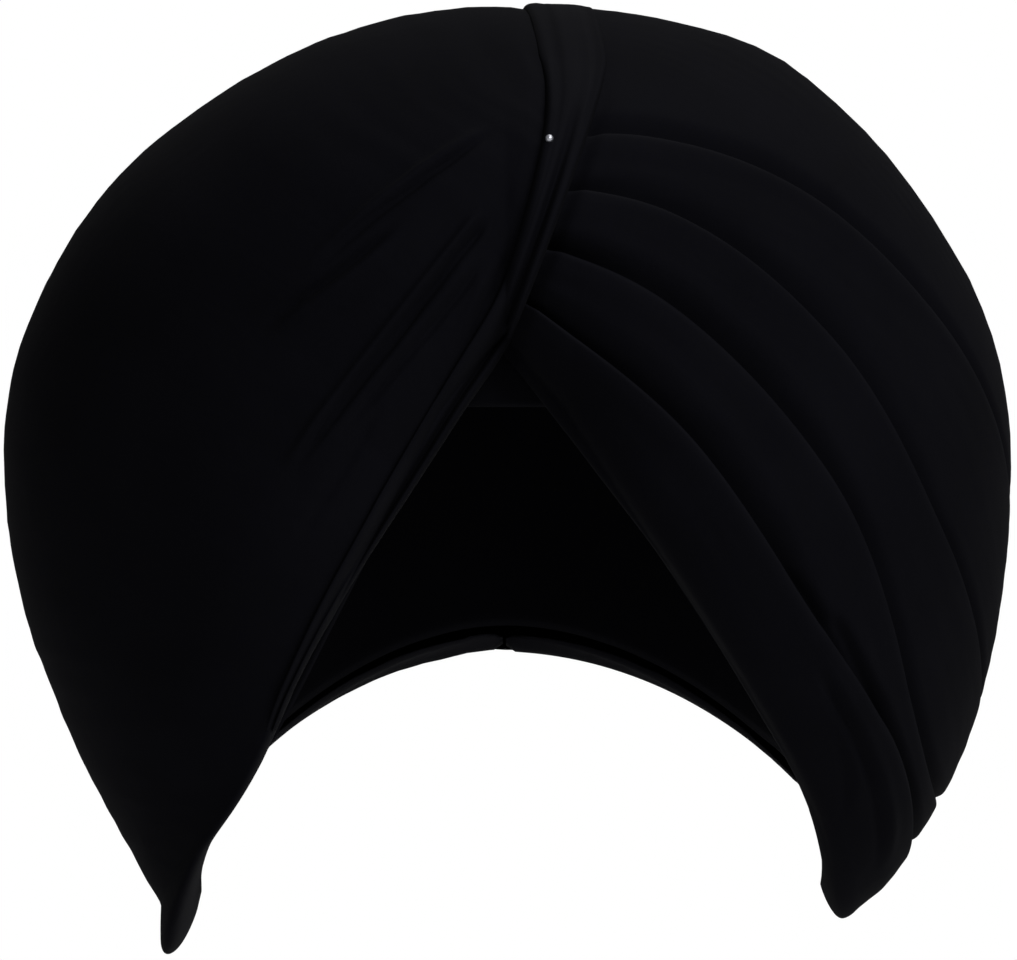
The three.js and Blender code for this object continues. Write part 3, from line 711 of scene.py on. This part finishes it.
def makeUnderTurban():
    azimuth = np.linspace(-180, 180, cap["columns"])
    earLift = cap["earLift"] * bump((np.abs(azimuth) - tip["azimuth"]) / cap["earSpan"])
    low = np.minimum(cap["browEdge"], rimElevation(azimuth) + cap["rimLift"] + earLift)
    share = gradedRows(cap["rows"], 0.6)
    elevation = lerp(low[None], 90.0, share[:, None])
    azimuths = np.broadcast_to(azimuth, elevation.shape)
    dirs = direction(azimuths, elevation)
    base = reachOf(headSection, azimuths, elevation)
    points = dirs * base[..., None]
    across = stepLengths(points, 0)
    wrap = np.minimum(azimuth + 180, 180 - azimuth)[None] / 25
    gather = (ripple(azimuths / 4, across / 38, 5.1) + ripple(azimuths / 7, across / 60, 9.6)) * smooth(wrap)
    nearPole = smooth((90 - elevation) / 12)
    thickness = form["capThickness"] - 0.3
    edgeRound = np.sqrt(np.maximum(1 - (1 - np.minimum(across / (thickness / 2), 1)) ** 2, 0))
    wave = cap["gather"] * (gather - 0.45) * nearPole
    middle = base + thickness / 2 + 0.15 + wave
    outer = dirs * (middle + thickness / 2 * edgeRound)[..., None]
    inner = dirs * (middle - thickness / 2 * edgeRound)[..., None]
    outer[-1], inner[-1] = outer[-1, 0], inner[-1, 0]
    outer[:, -1], inner[:, -1] = outer[:, 0], inner[:, 0]
    back = [j for j in range(cap["rows"] - 1, -1, -1) if j % 2 == 0 or j > cap["rows"] - 2]
    along = np.broadcast_to(azimuth / 360 * 540, elevation.shape)
    # one loft from the outer pole down round the rim and up to the inner pole
    points = np.concatenate([outer[::-1], inner[1:]])
    alongAll = np.concatenate([along[::-1], along[1:]])
    acrossAll = np.concatenate([across[::-1], -across[1:]])
    wearAndHighlight = 0 * alongAll
    return loft("under_turban_cap", points, alongAll + 270, acrossAll, wearAndHighlight)


capPiece = makeUnderTurban()
print("under turban made")

# Pin: a small round head on a plain shaft, placed by azimuth and elevation in degrees
pin = {"azimuth": 5.5, "elevation": 30.8, "headRadius": 1.05, "shaftRadius": 0.38, "length": 14, "proud": 3.6}


def makePin():
    bm = bmesh.new()
    head, shaft = pin["headRadius"], pin["shaftRadius"]
    point = -pin["length"]
    profile = [(0, point), (shaft * 0.5, point + 1.4), (shaft, point + 3), (shaft, -0.5 * head)]
    for angle in range(-60, 91, 15):
        a = math.radians(angle)
        profile.append((head * math.cos(a) if angle < 90 else 0, 0.45 * head + head * math.sin(a)))
    verts = [bm.verts.new((x * mm, 0, z * mm)) for x, z in profile]
    edges = [bm.edges.new(pair) for pair in zip(verts, verts[1:])]
    bmesh.ops.spin(
        bm, geom=verts + edges, cent=(0, 0, 0), axis=(0, 0, 1), angle=2 * math.pi, steps=28, use_merge=True,
    )
    bmesh.ops.remove_doubles(bm, verts=bm.verts, dist=1e-6)
    bmesh.ops.recalc_face_normals(bm, faces=bm.faces)
    for face in bm.faces:
        face.smooth = True
    d = direction(pin["azimuth"], pin["elevation"])
    reach = float(windOf(d)) + pin["proud"] - 0.6
    turn = Vector((0, 0, 1)).rotation_difference(Vector(d)).to_matrix().to_4x4()
    bmesh.ops.transform(bm, matrix=Matrix.Translation(Vector(d) * reach * mm) @ turn, verts=bm.verts)
    mesh = bpy.data.meshes.new("round_headed_pin")
    bm.to_mesh(mesh)
    bm.free()
    piece = bpy.data.objects.new("round_headed_pin", mesh)
    scene.collection.objects.link(piece)
    return piece


pinPiece = makePin()
print("pin made")


# Sums written with wires between shader nodes
class Wire:
    def __init__(self, finish, socket):
        self.finish = finish
        self.socket = socket

    def sum(self, operation, *values):
        return self.finish.node("ShaderNodeMath", {"operation": operation}, dict(enumerate(values)))

    def __add__(self, other):
        return self.sum("ADD", self, other)

    def __radd__(self, other):
        return self.sum("ADD", other, self)

    def __sub__(self, other):
        return self.sum("SUBTRACT", self, other)

    def __rsub__(self, other):
        return self.sum("SUBTRACT", other, self)

    def __mul__(self, other):
        return self.sum("MULTIPLY", self, other)

    def __rmul__(self, other):
        return self.sum("MULTIPLY", other, self)

    def sine(self):
        return self.sum("SINE", self)

    def clamped(self):
        return self.finish.node("ShaderNodeClamp", {}, {"Value": self})


class Finish:
    def __init__(self, name):
        self.material = bpy.data.materials.new(name)
        self.material.use_nodes = True
        self.tree = self.material.node_tree
        self.tree.nodes.clear()

    def node(self, kind, settings=None, inputs=None, out=0):
        made = self.tree.nodes.new(kind)
        for key, value in (settings or {}).items():
            setattr(made, key, value)
        for key, value in (inputs or {}).items():
            if isinstance(value, Wire):
                self.tree.links.new(value.socket, made.inputs[key])
            else:
                made.inputs[key].default_value = value
        return Wire(self, made.outputs[out])

    def mix(self, factor, a, b):
        return self.node("ShaderNodeMix", {"data_type": "RGBA"}, {0: factor, 6: a, 7: b}, 2)

    def shade(self, **inputs):
        values = {key.replace("_", " "): value for key, value in inputs.items()}
        surface = self.node("ShaderNodeBsdfPrincipled", {}, values)
        end = self.tree.nodes.new("ShaderNodeOutputMaterial")
        self.tree.links.new(surface.socket, end.inputs["Surface"])
        return self.material


# Fine black cotton, woven plain, with slubs and soft creases, and a lighter tone on the folded edges, hem and
# pleat ridges that is partly fading and partly painted highlight
voile = {
    "colour": (0.0016, 0.0016, 0.0023, 1), "fadedHighlight": (0.0034, 0.0034, 0.0045, 1),
    "deep": (0.0011, 0.0011, 0.0016, 1),
    "roughness": 0.8, "period": 0.00056, "weaveHeight": 0.00003, "specular": 0.008, "sheen": 0.001,
}


def clothFinish(name, values):
    f = Finish(name)
    uv = f.node("ShaderNodeUVMap", {"uv_map": "cloth"})
    parts = f.node("ShaderNodeSeparateXYZ", {}, {0: uv})
    u, v = parts, Wire(f, parts.socket.node.outputs[1])
    turn = 2 * math.pi / values["period"]
    weave = (u * turn).sine() * (v * turn).sine()
    stretched = f.node("ShaderNodeMapping", {}, {"Vector": uv, "Scale": (55, 1500, 1)})
    slubs = f.node("ShaderNodeTexNoise", {}, {"Vector": stretched, "Scale": 1, "Detail": 2})
    crossed = f.node("ShaderNodeMapping", {}, {"Vector": uv, "Scale": (1500, 70, 1)})
    warp = f.node("ShaderNodeTexNoise", {}, {"Vector": crossed, "Scale": 1, "Detail": 2})
    here = f.node("ShaderNodeTexCoord", {}, {}, 3)
    patches = f.node("ShaderNodeTexNoise", {}, {"Vector": here, "Scale": 26, "Detail": 4})
    crumple = f.node("ShaderNodeTexNoise", {}, {"Vector": here, "Scale": 120, "Detail": 5, "Distortion": 0.6})
    wearAndHighlight = f.node("ShaderNodeAttribute", {"attribute_name": "wearAndHighlight"}, {}, 2)
    threads = (0.6 * slubs + 0.4 * warp)
    tone = (1.5 * patches + 1.2 * threads - 0.95 + 0.04 * weave).clamped()
    colour = f.mix(tone, values["deep"], values["colour"])
    # painted highlight with some fading: folded edges, hem and pleat ridges mixed in patches towards the
    # lighter tone
    colour = f.mix((0.55 * wearAndHighlight * patches).clamped(), colour, values["fadedHighlight"])
    height = 0.6 * weave + 0.7 * threads
    weaveBump = {"Height": height, "Distance": values["weaveHeight"], "Strength": 0.8}
    woven = f.node("ShaderNodeBump", {}, weaveBump)
    creaseBump = {"Height": crumple, "Distance": 0.0005, "Strength": 0.35, "Normal": woven}
    creased = f.node("ShaderNodeBump", {}, creaseBump)
    roughness = values["roughness"] - 0.1 * wearAndHighlight + 0.08 * threads
    return f.shade(
        Base_Color=colour, Roughness=roughness, Normal=creased,
        Specular_IOR_Level=values["specular"], Sheen_Weight=values["sheen"], Sheen_Roughness=0.5,
    )


underCloth = dict(
    voile, colour=(0.002, 0.002, 0.0027, 1), deep=(0.0014, 0.0014, 0.0019, 1), period=0.0007, roughness=0.88,
)
steel = {"colour": (0.33, 0.34, 0.37, 1), "dull": (0.2, 0.2, 0.22, 1), "roughness": 0.32}


def pinFinish(values):
    f = Finish("pin_steel_finish")
    here = f.node("ShaderNodeTexCoord", {}, {}, 3)
    spots = f.node("ShaderNodeTexNoise", {}, {"Vector": here, "Scale": 1900, "Detail": 3})
    scratches = f.node("ShaderNodeTexNoise", {}, {"Vector": here, "Scale": 5200, "Detail": 2})
    marks = f.node("ShaderNodeBump", {}, {"Height": scratches, "Distance": 0.00002, "Strength": 0.4})
    return f.shade(
        Base_Color=f.mix(spots, values["dull"], values["colour"]),
        Roughness=values["roughness"] + 0.2 * spots, Metallic=1.0, Normal=marks,
    )


voileFinish = clothFinish("black_voile_finish", voile)
underFinish = clothFinish("under_cloth_finish", underCloth)
steelFinish = pinFinish(steel)
print("finishes made")


def dress(piece, node, finish):
    piece.data.materials.append(finish)
    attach(piece, "root")
    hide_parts(node)


dress(capPiece, "under_turban", underFinish)
for number, piece in enumerate(rightPieces, 1):
    dress(piece, f"layer_{number}", voileFinish)
dress(sidePiece, "side_wrap", voileFinish)
dress(pleatPiece, "centre_pleat", voileFinish)
dress(pinPiece, "turban_pin", steelFinish)

# Soft studio: white surroundings, a wide lamp from the upper right and a weak one from the left
studio = {
    "surround": 0.36, "floorLevel": -0.42, "floorHalf": 5,
    "key": {"place": (1.1, -1.7, 1.5), "size": 1.1, "power": 110},
    "fill": {"place": (-1.8, -1.6, 0.5), "size": 1.6, "power": 2.5},
    "top": {"place": (0.5, 0.9, 1.9), "size": 1.0, "power": 25},
}


def makeStudio():
    world = bpy.data.worlds.new("surround")
    world.use_nodes = True
    backdrop = world.node_tree.nodes["Background"]
    backdrop.inputs["Color"].default_value = (1, 1, 1, 1)
    seen = world.node_tree.nodes.new("ShaderNodeLightPath")
    strength = world.node_tree.nodes.new("ShaderNodeMapRange")
    strength.inputs["To Min"].default_value = studio["surround"]
    strength.inputs["To Max"].default_value = 1
    world.node_tree.links.new(seen.outputs["Is Camera Ray"], strength.inputs["Value"])
    world.node_tree.links.new(strength.outputs["Result"], backdrop.inputs["Strength"])
    scene.world = world
    for name in ("key", "fill", "top"):
        lamp = studio[name]
        data = bpy.data.lights.new(name, "AREA")
        data.size = lamp["size"]
        data.energy = lamp["power"]
        light = bpy.data.objects.new(name, data)
        light.location = lamp["place"]
        light.rotation_euler = (-Vector(lamp["place"])).to_track_quat("-Z", "Y").to_euler()
        scene.collection.objects.link(light)
    bm = bmesh.new()
    bmesh.ops.create_grid(bm, x_segments=8, y_segments=8, size=studio["floorHalf"])
    bmesh.ops.translate(bm, verts=bm.verts, vec=(0, 0, studio["floorLevel"]))
    mesh = bpy.data.meshes.new("floor")
    bm.to_mesh(mesh)
    bm.free()
    floor = bpy.data.objects.new("floor", mesh)
    scene.collection.objects.link(floor)
    f = Finish("floor_finish")
    here = f.node("ShaderNodeTexCoord", {}, {}, 3)
    grain = f.node("ShaderNodeTexNoise", {}, {"Vector": here, "Scale": 3, "Detail": 3})
    pale = f.mix(grain, (0.82, 0.82, 0.82, 1), (0.88, 0.88, 0.87, 1))
    mesh.materials.append(f.shade(Base_Color=pale, Roughness=0.8))
    scene.view_settings.view_transform = "Standard"


makeStudio()
print("studio made")
